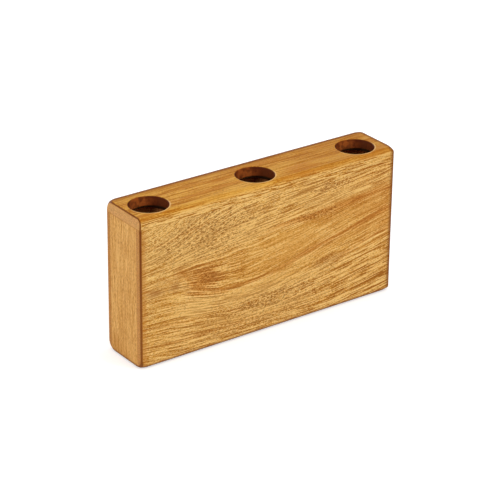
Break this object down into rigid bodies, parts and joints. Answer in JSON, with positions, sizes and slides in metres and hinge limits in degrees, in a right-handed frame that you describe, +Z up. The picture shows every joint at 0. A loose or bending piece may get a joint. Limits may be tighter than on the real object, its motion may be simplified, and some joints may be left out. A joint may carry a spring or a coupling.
{
  "type": "didgeridoo box",
  "caption": "Oblong glued hardwood box with round bores along its top board; inner baffles fold a long air channel so that it plays as a compact didgeridoo.",
  "frame": {"origin": "middle of the base, on the surface that the box stands on", "axes": "+X along the box towards its right end, -Y towards the front face, +Z up towards the bores"},
  "size_m": [0.25, 0.048, 0.13],
  "materials": {
    "top_wood": "satin oiled hardwood, straight grain along the box",
    "panel_wood": "satin oiled hardwood, figured grain along the box",
    "end_wood": "satin oiled hardwood, upright grain",
    "bottom_wood": "satin oiled hardwood",
    "baffle_wood": "raw sanded hardwood"
  },
  "bodies": {
    "root": {"top_board": "top_wood", "front_panel": "panel_wood", "back_panel": "panel_wood", "left_end": "end_wood", "right_end": "end_wood", "bottom_board": "bottom_wood", "hanging_baffle_1": "baffle_wood", "standing_baffle_1": "baffle_wood", "hanging_baffle_2": "baffle_wood", "hanging_baffle_3": "baffle_wood", "standing_baffle_2": "baffle_wood", "hanging_baffle_4": "baffle_wood"}
  },
  "joints": []
}
